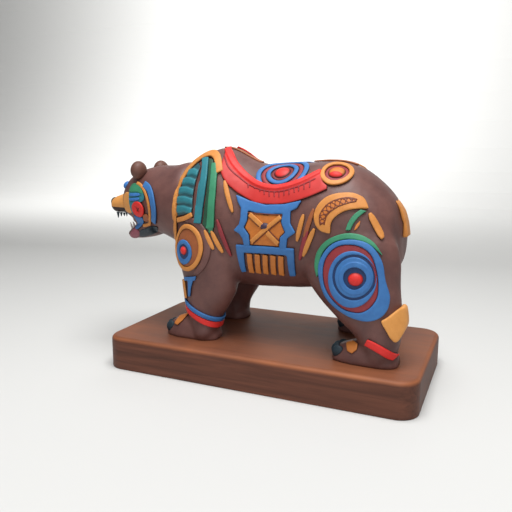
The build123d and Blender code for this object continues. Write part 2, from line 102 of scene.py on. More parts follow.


# Oiled hardwood under a red-brown stain: long grain along X, about 3 mm wide, and a paler painted highlight
# on the top and its rounded edge
plinth_stain, tree, shader, place = new_material("stained_hardwood")
along_grain = add_node(tree, "ShaderNodeMapping", {"Scale": (6, 110, 110)}, {"Vector": place})
grain = add_node(tree, "ShaderNodeTexNoise",
                 {"Scale": 1.6, "Detail": 6, "Roughness": 0.62, "Distortion": 0.5},
                 {"Vector": along_grain.outputs["Vector"]})
stain = add_node(tree, "ShaderNodeValToRGB", links={"Fac": grain.outputs["Fac"]})
stain.color_ramp.elements[0].position = 0.30
stain.color_ramp.elements[0].color = linear("#4a2c22")
stain.color_ramp.elements[1].position = 0.72
stain.color_ramp.elements[1].color = linear("#704434")
patches = add_node(tree, "ShaderNodeTexNoise", {"Scale": 14, "Detail": 3}, {"Vector": place})
# Painted highlight: paler in patches, brightest on the rounded top edge
edge_highlight = add_node(tree, "ShaderNodeAttribute", attribute_name="edge_highlight")
broken_highlight = add_node(tree, "ShaderNodeMath", links={0: edge_highlight.outputs["Fac"], 1: patches.outputs["Fac"]},
                      operation="MULTIPLY")
highlight_amount = add_node(tree, "ShaderNodeMapRange", {"From Min": 0.12, "From Max": 0.62, "To Max": 0.85},
                       {"Value": broken_highlight.outputs[0]})
stain_and_highlight = add_node(tree, "ShaderNodeMix", data_type="RGBA")
tree.links.new(highlight_amount.outputs["Result"], stain_and_highlight.inputs["Factor"])
tree.links.new(stain.outputs["Color"], stain_and_highlight.inputs[6])
# The paler colour of the painted highlight
stain_and_highlight.inputs[7].default_value = linear("#a0603c")
tree.links.new(stain_and_highlight.outputs[2], shader.inputs["Base Color"])
shader.inputs["Specular IOR Level"].default_value = 0.25
polish = add_node(tree, "ShaderNodeMapRange", {"To Min": 0.48, "To Max": 0.66},
                  {"Value": grain.outputs["Fac"]})
tree.links.new(polish.outputs["Result"], shader.inputs["Roughness"])
pores = add_node(tree, "ShaderNodeBump", {"Strength": 0.25, "Distance": 0.4 * MM},
                 {"Height": grain.outputs["Fac"]})
tree.links.new(pores.outputs["Normal"], shader.inputs["Normal"])

plinth_low, plinth_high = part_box("plinth")
plinth_size = plinth_high - plinth_low
CORNER = 18 * MM
TOP_ROUNDING = 4.5 * MM
FOOT_ROUNDING = 1 * MM
HIGHLIGHT_LINE = 0.3 * TOP_ROUNDING  # how far below the top the painted highlight is brightest
HIGHLIGHT_REACH = 0.75 * TOP_ROUNDING

bm = bmesh.new()
bmesh.ops.create_cube(bm, size=1)
bmesh.ops.scale(bm, vec=plinth_size, verts=bm.verts)
bmesh.ops.translate(bm, vec=(plinth_low + plinth_high) / 2, verts=bm.verts)
upright = [e for e in bm.edges if abs(e.verts[0].co.z - e.verts[1].co.z) > plinth_size.z / 2]
bmesh.ops.bevel(bm, geom=upright, offset=CORNER, offset_type="OFFSET", segments=14, profile=0.5,
                affect="EDGES", material=-1)
for level, rounding, segments in ((plinth_high.z, TOP_ROUNDING, 6), (plinth_low.z, FOOT_ROUNDING, 2)):
    rim = [e for e in bm.edges if all(abs(v.co.z - level) < 1e-6 for v in e.verts) and
           len({round(f.normal.z) for f in e.link_faces}) == 2]
    bmesh.ops.bevel(bm, geom=rim, offset=rounding, offset_type="OFFSET", segments=segments, profile=0.5,
                    affect="EDGES", material=-1)
bmesh.ops.recalc_face_normals(bm, faces=bm.faces)
mesh = mesh_of(bm, "plinth_board")
bm.free()
# The painted highlight's strength at each vertex, brightest just below the top
highlight_layer = mesh.attributes.new("edge_highlight", "FLOAT", "POINT")
for vertex in mesh.vertices:
    below_top = plinth_high.z - vertex.co.z
    highlight_layer.data[vertex.index].value = max(0.0, 1 - abs(below_top - HIGHLIGHT_LINE) / HIGHLIGHT_REACH)
board = finish_piece(mesh, "plinth_board", plinth_stain, "plinth_wood", "plinth")
weighted = board.modifiers.new("flat faces", "WEIGHTED_NORMAL")
weighted.keep_sharp = True

# ------------------------------------------------------------------ carved body
# The torso and legs are carved from close-grained wood, joined, sanded and painted a satin dark brown.
# The knife has left the surface very slightly uneven, and the joints are filled and rubbed down smooth.
CELL = 1.4 * MM  # the size of the surface's faces


def merged_copy(*nodes):
    """One mesh of the CAD nodes' own shapes."""
    joined = bmesh.new()
    for node in nodes:
        joined.from_mesh(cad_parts[node].data)
    bmesh.ops.remove_doubles(joined, verts=joined.verts, dist=1e-6)
    return joined


def rub_down(bm, verts):
    """One pass of fine smoothing."""
    bmesh.ops.smooth_vert(bm, verts=verts, factor=0.5, use_axis_x=True, use_axis_y=True, use_axis_z=True)


def evened(bm, cell, rounds):
    """The closed shape rebuilt in faces of one size, then rubbed smooth."""
    rough = mesh_of(bm, "rough")
    bm.free()
    carrier = bpy.data.objects.new("rough", rough)
    bpy.context.scene.collection.objects.link(carrier)
    remesh = carrier.modifiers.new("even", "REMESH")
    remesh.mode = "VOXEL"
    remesh.voxel_size = cell
    remesh.adaptivity = 0
    result = carrier.evaluated_get(bpy.context.evaluated_depsgraph_get())
    shaped = bmesh.new()
    shaped.from_mesh(result.data)
    bpy.data.objects.remove(carrier)
    bpy.data.meshes.remove(rough)
    for _ in range(rounds):
        rub_down(shaped, shaped.verts)
    return shaped


def nearness(bm, *nodes):
    """For each vertex, its distance from the CAD nodes' surface."""
    copy = merged_copy(*nodes)
    surface = BVHTree.FromBMesh(copy)
    copy.free()
    return [surface.find_nearest(v.co)[3] for v in bm.verts]


def hand_cut(bm, depth, size):
    """Slight unevenness, as a knife leaves."""
    bm.normal_update()
    for v in bm.verts:
        v.co += v.normal * depth * noise.noise(v.co / size)


def brown_paint():
    """Dark brown satin paint over wood, slightly mottled and faintly brushed."""
    material, tree, shader, place = new_material("brown_painted_wood")
    mottle = add_node(tree, "ShaderNodeTexNoise", {"Scale": 45, "Detail": 5, "Roughness": 0.6},
                      {"Vector": place})
    colour = add_node(tree, "ShaderNodeValToRGB", links={"Fac": mottle.outputs["Fac"]})
    colour.color_ramp.elements[0].position = 0.32
    colour.color_ramp.elements[0].color = linear("#563633")
    colour.color_ramp.elements[1].position = 0.70
    colour.color_ramp.elements[1].color = linear("#714a43")
    tree.links.new(colour.outputs["Color"], shader.inputs["Base Color"])
    strokes = add_node(tree, "ShaderNodeMapping", {"Scale": (40, 40, 160)}, {"Vector": place})
    brushed = add_node(tree, "ShaderNodeTexNoise", {"Scale": 7, "Detail": 4},
                       {"Vector": strokes.outputs["Vector"]})
    sheen = add_node(tree, "ShaderNodeMapRange", {"To Min": 0.42, "To Max": 0.60},
                     {"Value": mottle.outputs["Fac"]})
    tree.links.new(sheen.outputs["Result"], shader.inputs["Roughness"])
    bump = add_node(tree, "ShaderNodeBump", {"Strength": 0.22, "Distance": 0.5 * MM},
                    {"Height": brushed.outputs["Fac"]})
    tree.links.new(bump.outputs["Normal"], shader.inputs["Normal"])
    return material


bear_paint = brown_paint()

LEGS = ("foreleg_left", "foreleg_right", "hind_leg_left", "hind_leg_right")
bm = evened(merged_copy("torso", *LEGS, "leg_dowels", "neck_dowel", "plinth_screws"), CELL, 3)
from_torso = nearness(bm, "torso")
from_legs = nearness(bm, *LEGS)
JOINT_REACH = 11 * MM  # how far from a joint the filler is rubbed down
ABOVE_PAWS = plinth_high.z + 30 * MM
for strength, rounds in ((1.0, 26), (0.6, 14)):
    for _ in range(rounds):
        near = [v for v, a, b in zip(bm.verts, from_torso, from_legs)
                if max(a, b) < JOINT_REACH * strength and v.co.z > ABOVE_PAWS]
        rub_down(bm, near)
hand_cut(bm, 0.35 * MM, 14 * MM)
hand_cut(bm, 0.12 * MM, 5 * MM)
SUNK = 0.3 * MM  # how far the feet go into the plinth
bmesh.ops.bisect_plane(bm, geom=bm.verts[:] + bm.edges[:] + bm.faces[:], dist=1e-6,
                       plane_co=(0, 0, plinth_high.z - SUNK), plane_no=(0, 0, -1), clear_outer=True)
bmesh.ops.holes_fill(bm, edges=[e for e in bm.edges if e.is_boundary], sides=0)
bmesh.ops.recalc_face_normals(bm, faces=bm.faces)
body_surface = bm
finish_piece(mesh_of(bm, "carved_body"), "carved_body", bear_paint, "bear_brown", "torso", *LEGS)

# ------------------------------------------------------------------ head, ears, muzzle, nose and teeth
# The head is a separate carving on a dowel, its joint hidden under the collar. The muzzle is a block let
# into it, painted a lighter ochre as painted light, and the ears, eyes, nose and teeth are small pegs glued
# in.
bm = evened(merged_copy("head", "neck_dowel"), 1.1 * MM, 4)
hand_cut(bm, 0.3 * MM, 12 * MM)
head_surface = bm
finish_piece(mesh_of(bm, "carved_head"), "carved_head", bear_paint, "bear_brown", "head")


def satin_paint(name, colour, shade):
    """Thick satin paint on raised wood: full colour on top, darker in grooves and at the foot, partly a dark
    outline and partly painted shade.
    """
    material, tree, shader, place = new_material(name)
    mottle = add_node(tree, "ShaderNodeTexNoise", {"Scale": 160, "Detail": 4, "Roughness": 0.6},
                      {"Vector": place})
    lively = add_node(tree, "ShaderNodeMapRange", {"From Min": 0.3, "From Max": 0.75, "To Max": 0.55},
                      {"Value": mottle.outputs["Fac"]})
    body = add_node(tree, "ShaderNodeMix", data_type="RGBA")
    tree.links.new(lively.outputs["Result"], body.inputs["Factor"])
    body.inputs[6].default_value = linear(colour)
    body.inputs[7].default_value = linear(shade)
    # Low parts turn dark brown: partly a dark painted outline, partly painted shade in grooves and at the
    # foot
    height = add_node(tree, "ShaderNodeAttribute", attribute_name="height")
    outline_and_shade = add_node(tree, "ShaderNodeMapRange", {"From Min": 0.30, "From Max": 0.78},
                     {"Value": height.outputs["Fac"]}, interpolation_type="SMOOTHSTEP")
    painted = add_node(tree, "ShaderNodeMix", data_type="RGBA")
    tree.links.new(outline_and_shade.outputs["Result"], painted.inputs["Factor"])
    painted.inputs[6].default_value = linear("#2a1613")
    tree.links.new(body.outputs[2], painted.inputs[7])
    tree.links.new(painted.outputs[2], shader.inputs["Base Color"])
    gloss = add_node(tree, "ShaderNodeMapRange", {"To Min": 0.44, "To Max": 0.60},
                     {"Value": mottle.outputs["Fac"]})
    tree.links.new(gloss.outputs["Result"], shader.inputs["Roughness"])
    shader.inputs["Specular IOR Level"].default_value = 0.35
    bump = add_node(tree, "ShaderNodeBump", {"Strength": 0.18, "Distance": 0.3 * MM},
                    {"Height": mottle.outputs["Fac"]})
    tree.links.new(bump.outputs["Normal"], shader.inputs["Normal"])
    return material


# Each paint as its full colour and the darker tone that it is mottled with
OCHRE = satin_paint("ochre_paint", "#d08a45", "#b06c30")
# A lighter copy of the ochre: painted light on the muzzle and heel leaves, where more light falls
LIT_OCHRE = satin_paint("lit_ochre_paint", "#dd9a52", "#c2803c")
AMBER = satin_paint("amber_paint", "#c87a38", "#a86028")
ORANGE = satin_paint("orange_paint", "#c8752f", "#a05a28")
RUST = satin_paint("rust_paint", "#9c5a34", "#7e4226")
RED = satin_paint("red_paint", "#dc302c", "#c42824")
DEEP_RED = satin_paint("deep_red_paint", "#93353a", "#742a34")
UMBER = satin_paint("umber_paint", "#743a22", "#5a2c1a")
MAROON = satin_paint("maroon_paint", "#8e2228", "#6e1a20")
PLUM = satin_paint("plum_paint", "#45364a", "#33283a")
BLUE = satin_paint("blue_paint", "#3c74b0", "#305c98")
SKY = satin_paint("sky_blue_paint", "#3f7ac0", "#3264a4")
LAGOON = satin_paint("lagoon_paint", "#2f7c88", "#266670")
GREEN = satin_paint("green_paint", "#3c8a66", "#307255")
DARK_GREEN = satin_paint("dark_green_paint", "#27503c", "#1e4032")
BLACK_BLUE = satin_paint("blue_black_paint", "#263640", "#1a262c")
NOSE_BLACK = satin_paint("nose_paint", "#3a3832", "#282622")
PINK = satin_paint("pink_paint", "#96505e", "#7a404c")
BONE = satin_paint("bone_paint", "#d8c8c4", "#b8a8a2")
BROWN = satin_paint("raised_brown_paint", "#6b473c", "#54372f")
NAVY = satin_paint("navy_paint", "#213a66", "#1a2c50")


def all_top(mesh):
    """Full paint colour all over a piece, with no dark outline or painted shade at its foot."""
    height = mesh.attributes.new("height", "FLOAT", "POINT")
    for value in height.data:
        value.value = 1.0


def rubbed_copy(name, node, cell, rounds, material, slot):
    """A carved piece from its CAD node's shape, rubbed smooth."""
    shaped = evened(merged_copy(node), cell, rounds)
    hand_cut(shaped, 0.15 * MM, 6 * MM)
    mesh = mesh_of(shaped, name)
    shaped.free()
    all_top(mesh)
    return finish_piece(mesh, name, material, slot, node)


rubbed_copy("left_ear", "ear_left", 0.7 * MM, 3, BROWN, "bear_brown")
rubbed_copy("right_ear", "ear_right", 0.7 * MM, 3, BROWN, "bear_brown")
muzzle_low, muzzle_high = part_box("muzzle")
# The muzzle in the lighter ochre, as painted light
muzzle_block = rubbed_copy("muzzle_block", "muzzle", 0.6 * MM, 4, LIT_OCHRE, "ochre_paint")
LIP_SHARE = 0.24  # the share of the muzzle's height that is painted dark as a lip
LIP_BLEND = 1.2 * MM
lip = muzzle_low.z + LIP_SHARE * (muzzle_high.z - muzzle_low.z)
for vertex, value in zip(muzzle_block.data.vertices, muzzle_block.data.attributes["height"].data):
    value.value = min(1.0, max(0.0, (vertex.co.z - lip) / LIP_BLEND))
rubbed_copy("nose_tip", "nose", 0.45 * MM, 2, NOSE_BLACK, "nose_black")
rubbed_copy("eye_pegs", "eyes", 0.45 * MM, 2, SKY, "sky_blue_paint")
rubbed_copy("upper_fangs", "upper_teeth", 0.3 * MM, 1, BLACK_BLUE, "blue_black_paint")
rubbed_copy("lower_fangs", "lower_teeth", 0.3 * MM, 1, BONE, "bone_paint")
rubbed_copy("tail_flap", "tail", 0.7 * MM, 4, OCHRE, "ochre_paint")
rubbed_copy("claw_tips", "claws", 0.45 * MM, 2, BLACK_BLUE, "blue_black_paint")
# The heel leaves in the lighter ochre, as painted light
rubbed_copy("heel_leaf", "heel_leaves", 0.8 * MM, 5, LIT_OCHRE, "ochre_paint")

# ------------------------------------------------------------------ how the raised ornaments are made
# Each ornament is cut from thin sheet, rounded over, bent to the carved surface and glued on, then painted.
# It is modelled flat, in millimetres, with its height above the surface along Z, and then laid on.
FOOT = -1.2  # how far a piece is let into the surface


def flowing(points, closed=False, steps=5):
    """Points along a smooth curve through the given ones."""
    count = len(points)
    knots = [Vector(p) for p in points]
    curve = []
    for i in range(count if closed else count - 1):
        if closed:
            near = [knots[(i + k) % count] for k in (-1, 0, 1, 2)]
        else:
            near = [knots[min(max(i + k, 0), count - 1)] for k in (-1, 0, 1, 2)]
        for step in range(steps):
            t = step / steps
            curve.append(0.5 * (2 * near[1] + (near[2] - near[0]) * t
                                + (2 * near[0] - 5 * near[1] + 4 * near[2] - near[3]) * t * t
                                + (3 * near[1] - near[0] - 3 * near[2] + near[3]) * t ** 3))
    if not closed:
        curve.append(knots[-1])
    return curve


def raise_faces(bm, faces, high):
    """Gives flat faces a thickness from the foot to high."""
    bmesh.ops.translate(bm, vec=(0, 0, FOOT), verts=list({v for f in faces for v in f.verts}))
    grown = bmesh.ops.extrude_face_region(bm, geom=faces, use_keep_orig=True)
    tops = [g for g in grown["geom"] if isinstance(g, bmesh.types.BMVert)]
    bmesh.ops.translate(bm, vec=(0, 0, high - FOOT), verts=tops)


def sheet(bm, points, high):
    """A flat shape with the given outline."""
    corners = [bm.verts.new((p[0], p[1], 0)) for p in points]
    raise_faces(bm, [bm.faces.new(corners)], high)


def strap(bm, points, width, high, taper=0.0):
    """A strip of that width along a path, its ends narrowed by taper."""
    path = [Vector(p) for p in points]
    left, right = [], []
    for i, p in enumerate(path):
        ahead = path[min(i + 1, len(path) - 1)] - path[max(i - 1, 0)]
        aside = Vector((-ahead.y, ahead.x)).normalized()
        along = i / (len(path) - 1)
        half = width / 2 * (1 - taper * (2 * along - 1) ** 4)
        left.append(p + aside * half)
        right.append(p - aside * half)
    sheet(bm, left + right[::-1], high)


def hoop(bm, centre, outer, inner, high):
    """An oval ring, or a full oval where inner is None."""
    made = bmesh.ops.create_circle(bm, cap_ends=inner is None, radius=1, segments=56)["verts"]
    bmesh.ops.scale(bm, vec=(*outer, 1), verts=made)
    if inner is None:
        faces = list({f for v in made for f in v.link_faces})
    else:
        hole = bmesh.ops.create_circle(bm, cap_ends=False, radius=1, segments=56)["verts"]
        bmesh.ops.scale(bm, vec=(*inner, 1), verts=hole)
        edges = list({e for v in made + hole for e in v.link_edges})
        faces = bmesh.ops.bridge_loops(bm, edges=edges)["faces"]
        made = made + hole
    bmesh.ops.translate(bm, vec=(*centre, 0), verts=made)
    raise_faces(bm, faces, high)


def dome(bm, centre, radii, high):
    """A rounded boss."""
    ball = bmesh.ops.create_uvsphere(bm, u_segments=32, v_segments=20, radius=1)["verts"]
    bmesh.ops.scale(bm, vec=(*radii, high - FOOT), verts=ball)
    bmesh.ops.translate(bm, vec=(*centre, FOOT), verts=ball)


class Side:
    """A plane that ornaments are drawn on: its origin in mm, its x and its outward normal."""

    def __init__(self, origin, across, outward):
        self.origin = Vector(origin)
        self.across = Vector(across).normalized()
        self.outward = Vector(outward).normalized()
        self.up = self.outward.cross(self.across)


FLANK = Side((0, 0, 0), (1, 0, 0), (0, -1, 0))
SHOULDER = Side((0, 0, 0), (0.92, -0.39, 0), (-0.39, -0.92, 0))

carved = bmesh.new()
for source in (body_surface, head_surface):
    piece_mesh = mesh_of(source, "carved_all")
    carved.from_mesh(piece_mesh)
    bpy.data.meshes.remove(piece_mesh)
for _ in range(2):
    rub_down(carved, carved.verts)
carved.normal_update()
carved_tree = BVHTree.FromBMesh(carved)
carved_points = KDTree(len(carved.verts))
for v in carved.verts:
    carved_points.insert(v.co, v.index)
carved_points.balance()
carved_normals = [v.normal.copy() for v in carved.verts]
REACH = 150 * MM  # further out than any part of the body
BESIDE = 45 * MM  # how far out a point that misses the body looks for its nearest place
PAST_MIDDLE = 12 * MM  # anything further across than this belongs to the other side
NEIGHBOURS = 7
SOFTENING = 0.3 * MM


def surface_normal(point):
    """The carved surface's direction, blended from the nearest few of its vertices."""
    total = Vector()
    for _, index, distance in carved_points.find_n(point, NEIGHBOURS):
        total += carved_normals[index] / (distance + SOFTENING)
    return total.normalized()


def lay_on(bm, name, material, slot, node, side=FLANK, cell=0.7, rounds=3, grooves=(), groove_width=1.0,
           groove_depth=0.9, far_shift=(0, 0)):
    """Rounds the flat shape over, cuts its grooves, and lays it on the carved surface on both sides."""
    bmesh.ops.recalc_face_normals(bm, faces=bm.faces)
    bmesh.ops.scale(bm, vec=(MM, MM, MM), verts=bm.verts)
    shaped = evened(bm, cell * MM, rounds)
    top = max(v.co.z for v in shaped.verts)
    depths = []
    for v in shaped.verts:
        spot = Vector((v.co.x, v.co.y)) / MM
        cut = 0.0
        for a, b in grooves:
            run = b - a
            t = max(0.0, min(1.0, (spot - a).dot(run) / run.length_squared))
            apart = (spot - a - run * t).length / groove_width
            cut = max(cut, (1 - apart * apart) ** 2 if apart < 1 else 0)
        lowered = v.co.z - cut * groove_depth * MM if v.co.z > 0 else v.co.z
        depths.append(max(0.0, lowered / top))
        v.co.z = lowered
    for hand, label in ((-1, "left"), (1, "right")):
        half = shaped.copy()
        shift = Vector((far_shift[0], far_shift[1])) * MM if hand > 0 else Vector((0, 0))
        for v in half.verts:
            base = side.origin * MM + side.across * v.co.x + side.up * v.co.y
            outward = side.outward
            base = Vector((base.x + shift.x, -hand * base.y, base.z + shift.y))
            outward = Vector((outward.x, -hand * outward.y, outward.z))
            hit = carved_tree.ray_cast(base + outward * REACH, -outward)[0]
            if hit is None or hand * hit.y < -PAST_MIDDLE:
                hit = carved_tree.find_nearest(base + outward * BESIDE)[0]
            v.co = hit + surface_normal(hit) * v.co.z
        if hand > 0:
            bmesh.ops.reverse_faces(half, faces=half.faces)
        mesh = mesh_of(half, f"{name}_{label}")
        half.free()
        height = mesh.attributes.new("height", "FLOAT", "POINT")
        for value, depth in zip(height.data, depths):
            value.value = depth
        finish_piece(mesh, f"{name}_{label}", material, slot, node)
    shaped.free()


def lines(*pairs):
    """Straight cuts, each between a pair of points."""
    return [(Vector(a), Vector(b)) for a, b in pairs]


# ------------------------------------------------------------------ collar and feathers
# A rounded ochre band hides the joint between neck and torso and turns over the shoulder hump. Inside it
# hang a stepped teal feather with an ochre foot, a blue feather and a green one.
COLLAR = [(-90.4, 124.5), (-89.4, 131), (-88.6, 142), (-88.4, 154), (-87.8, 166), (-86, 177.5), (-82, 188.5),
          (-75, 198.5), (-66, 205), (-57, 207), (-50.5, 204.5), (-45.5, 199), (-41, 190.5)]
bm = bmesh.new()
strap(bm, flowing(COLLAR), 5.4, 3.0, taper=-0.12)
lay_on(bm, "collar", OCHRE, "ochre_paint", "collar_band")

LADDER_LEFT = [(-84.4, 149), (-85.2, 162), (-83.4, 174), (-80, 184), (-76, 192), (-69, 199)]
LADDER_RIGHT = [(-63.6, 196), (-63.6, 190), (-63.9, 181), (-64.2, 168), (-63.4, 158), (-65, 153.5)]
bm = bmesh.new()
sheet(bm, flowing(LADDER_LEFT) + flowing(LADDER_RIGHT), 1.5)
for x, z, length in ((-84.4, 156, 20.5), (-85, 164.5, 20.5), (-84, 173, 19.5), (-81.5, 181.5, 17.5),
                     (-77.5, 189.5, 14)):
    sheet(bm, [(x, z - 3.4), (x, z + 2.6), (x + length / 2, z + 3.4), (x + length, z + 1.6),
               (x + length, z - 2.8), (x + length / 2, z - 1.6)], 2.9)
lay_on(bm, "stepped_feather", LAGOON, "teal_paint", "feather_ladder", cell=0.6, rounds=3)

bm = bmesh.new()
strap(bm, flowing([(-83.5, 145.5), (-77, 147), (-70, 149), (-62.8, 152.5)]), 4.6, 2.8)
lay_on(bm, "feather_foot_bar", OCHRE, "ochre_paint", "feather_foot")

bm = bmesh.new()
sheet(bm, flowing([(-60.3, 144.5), (-59.7, 156.5), (-59, 173), (-59.4, 186), (-61.5, 196), (-66, 202.5)])
      + flowing([(-58, 203.5), (-54.8, 196.5), (-51.9, 186), (-51, 173), (-52, 156.5), (-53, 144.7)]), 2.8)
lay_on(bm, "blue_feather", LAGOON, "teal_paint", "feather_blue",
       grooves=lines(((-60.8, 193), (-58, 180)), ((-58, 180), (-58.3, 160))), groove_width=0.8,
       groove_depth=0.8)

bm = bmesh.new()
sheet(bm, flowing([(-52, 144), (-50.5, 160), (-50.2, 174), (-51.5, 186), (-55, 197), (-58, 203)])
      + flowing([(-52, 202), (-48, 190), (-46.5, 174), (-46.4, 157), (-47.9, 139.5)]), 1.6)
lay_on(bm, "dark_green_feather", DARK_GREEN, "green_paint", "feather_green")
bm = bmesh.new()
sheet(bm, flowing([(-47.9, 140.2), (-46.4, 157), (-46.8, 173.3), (-48.3, 186), (-51.5, 198)])
      + flowing([(-46.5, 198.5), (-43.5, 192), (-41.6, 184), (-40.1, 173.5), (-39.4, 155), (-39.9, 141.8)]),
      3.0)
sheet(bm, [(-46, 139.6), (-45.4, 136), (-41, 136), (-40.6, 141.5)], 2.0)
lay_on(bm, "green_feather", GREEN, "green_paint", "feather_green")

# ------------------------------------------------------------------ saddle cloth and roundels
# The red saddle cloth hangs in a curve under the back, with a rolled upper edge and a painted row of
# short dark strokes. Round targets lie on the back above it and on the rump.
SWAG_LOWER = [(-40.5, 191), (-36, 185), (-29.6, 179), (-19.9, 172.7), (-10.2, 168.1), (-0.6, 164.8),
              (12.9, 164), (25.9, 165), (38.6, 168.2), (50.7, 172.5), (63, 178.2)]
SWAG_UPPER = [(62.5, 181), (57.5, 184.5), (55.2, 189.5), (54.5, 193.5), (48, 190.3), (42, 187.4),
              (34.4, 184.2), (24.8, 181), (14.6, 179.6), (4.3, 180.8), (-7.1, 184.6), (-19.1, 191),
              (-30.1, 200), (-38.3, 208), (-46, 212.5)]
RIM_LINE = [(53, 191.6), (42, 185.6), (34.4, 182.4), (24.8, 179.4), (14, 177.8), (3, 179), (-8.5, 182.6),
            (-20.6, 189), (-31.8, 198), (-40, 206), (-46, 211)]
HEM_FOLD = [(-44, 205.5), (-34.8, 194.6), (-24.6, 187), (-12.3, 180), (0, 176), (11.9, 174.3), (22.4, 175),
            (32.6, 177.8), (40.5, 180.6), (51, 185.8)]
bm = bmesh.new()
sheet(bm, flowing(SWAG_LOWER) + flowing(SWAG_UPPER), 2.2)
strap(bm, flowing(RIM_LINE), 3.6, 3.6)
folds = flowing(HEM_FOLD, steps=3)
strokes = list(zip(folds, folds[1:]))
for x, z, drop in ((-12.5, 180, 3.5), (-6, 178.4, 2.2), (0.2, 176.4, 2.6), (5, 175.4, 4), (10, 175, 5),
                   (14.8, 175, 5.2), (19.4, 175.4, 5.6), (24, 176.4, 5), (28.6, 177.6, 5.4),
                   (33, 178.8, 5), (37, 180.2, 5),
                   (41.6, 182, 5.4), (46.4, 184.2, 5.6)):
    strokes.append((Vector((x, z)), Vector((x + 1.4, z - drop))))
lay_on(bm, "saddle_cloth", RED, "red_paint", "saddle_swag", cell=0.6)
bm = bmesh.new()
for start, end in strokes:
    strap(bm, [start, end], 1.1, 2.75)
lay_on(bm, "hem_strokes", MAROON, "deep_red_paint", "saddle_swag", cell=0.45, rounds=1)

SADDLE = Side((15.8, -24.5, 190), (1, 0, 0), (0, -0.57, 0.82))
RUMP = Side((67, -28.3, 191.7), (1, 0, 0), (0, -0.57, 0.82))
bm = bmesh.new()
hoop(bm, (0, 0), (24.8, 24.8), (20, 20), 2.0)
hoop(bm, (0, 0), (15.2, 15.2), (10.8, 10.8), 2.0)
lay_on(bm, "saddle_roundel_rings", BLUE, "blue_paint", "saddle_rings", side=SADDLE)
bm = bmesh.new()
hoop(bm, (0, 0), (19.6, 19.6), (15.6, 15.6), 1.2)
hoop(bm, (0, 0), (10.4, 10.4), None, 0.7)
lay_on(bm, "saddle_roundel_field", DEEP_RED, "deep_red_paint", "saddle_field", side=SADDLE)
bm = bmesh.new()
dome(bm, (0, 0), (8.6, 8.6), 3.4)
lay_on(bm, "saddle_roundel_boss", RED, "red_paint", "saddle_dome", side=SADDLE, rounds=1)
bm = bmesh.new()
hoop(bm, (0, 0), (14, 15.6), (10, 11), 2.8)
lay_on(bm, "rump_roundel_ring", OCHRE, "ochre_paint", "rump_ring", side=RUMP)
bm = bmesh.new()
hoop(bm, (0, 0), (10.4, 11.4), None, 0.9)
lay_on(bm, "rump_roundel_field", DEEP_RED, "deep_red_paint", "rump_ring", side=RUMP)
bm = bmesh.new()
dome(bm, (0, 0), (8.6, 9), 3.2)
lay_on(bm, "rump_roundel_boss", ORANGE, "orange_paint", "rump_dome", side=RUMP, rounds=1)
bm = bmesh.new()
dome(bm, (0, -3.6), (7.2, 4.6), 3.7)
lay_on(bm, "rump_roundel_lip", RED, "orange_paint", "rump_dome", side=RUMP, rounds=1)

# ------------------------------------------------------------------ belly frame, quilted panel and gate
# A notched blue frame holds an orange panel quilted with crossing straps and a central boss. Below it is a
# blue gate with five ochre bars.
FRAME = [(-21.4, 171.5), (-18, 164.5), (-14.5, 160), (-14, 152), (-15.2, 146), (-20.3, 140.6), (-14.7, 137.8),
         (-11.4, 133), (-10.8, 127), (-4.7, 127), (-4.9, 133), (-5.6, 137.5), (-10.4, 143.4), (-7.4, 149.7),
         (-7.2, 158.2), (0, 156.6), (8.7, 156), (17, 156), (26.2, 156.8), (25.2, 149.7), (29.3, 141.2),
         (24.5, 136.8), (23.3, 127), (29.8, 127), (31.4, 136.5), (39, 141.8), (33.8, 149.4), (33.3, 159.4),
         (38.7, 162), (42.5, 168.5), (26, 164.6), (9, 163.6), (-7, 166.4)]
bm = bmesh.new()
sheet(bm, FRAME, 2.5)
lay_on(bm, "notched_frame", BLUE, "blue_paint", "belly_frame", rounds=2)

bm = bmesh.new()
sheet(bm, [(-6.6, 157), (8.7, 155.2), (25.6, 156), (24.6, 149.6), (28.6, 141.3), (23.9, 137), (22.6, 128.6),
           (-4.2, 128.6), (-4.9, 137.6), (-9.7, 143.4), (-6.8, 149.8)], 1.4)
lay_on(bm, "quilted_panel", ORANGE, "orange_paint", "belly_panel")
bm = bmesh.new()
strap(bm, [(-5.4, 155.2), (7.6, 145.9)], 4.2, 2.6)
strap(bm, [(12.2, 140.4), (22.6, 131)], 4.2, 2.6)
strap(bm, [(24.6, 154.2), (10.4, 142.8), (-3.2, 131.2)], 3.8, 2.8)
lay_on(bm, "panel_straps", OCHRE, "ochre_paint", "belly_panel", cell=0.5, rounds=2)
bm = bmesh.new()
for start, end in (((24.9, 151.4), (10.8, 139.9)), ((10.8, 139.9), (-1.4, 129.4)),
                   ((-5.8, 152.9), (4.4, 145.2)), ((14.6, 141.6), (23.4, 134)), ((-7.4, 156.2), (26, 155.6))):
    strap(bm, [start, end], 1.0, 2.4)
lay_on(bm, "panel_lines", UMBER, "orange_paint", "belly_panel", cell=0.45, rounds=1)
bm = bmesh.new()
dome(bm, (9.8, 145.4), (5.6, 3.9), 3.5)
lay_on(bm, "panel_boss", PLUM, "orange_paint", "belly_panel", cell=0.4, rounds=1)

bm = bmesh.new()
sheet(bm, [(-18.8, 127.9), (37.2, 128.1), (36.8, 121), (34.7, 101.6), (28.6, 101.2), (29.8, 121.4),
           (-11.4, 121), (-13.2, 101.8), (-18.2, 101.2), (-18.9, 120)], 2.6)
lay_on(bm, "gate_frame", BLUE, "blue_paint", "gate", rounds=2)
bm = bmesh.new()
for top, bottom in ((-6, -7.8), (1.7, -1), (9.3, 6.3), (16.9, 13.9), (24.2, 21.4)):
    strap(bm, [(top, 120.2), ((top + bottom) / 2, 111), (bottom, 101.5)], 5, 2.7)
lay_on(bm, "gate_bars_five", AMBER, "ochre_paint", "gate_bars", cell=0.6, rounds=2)

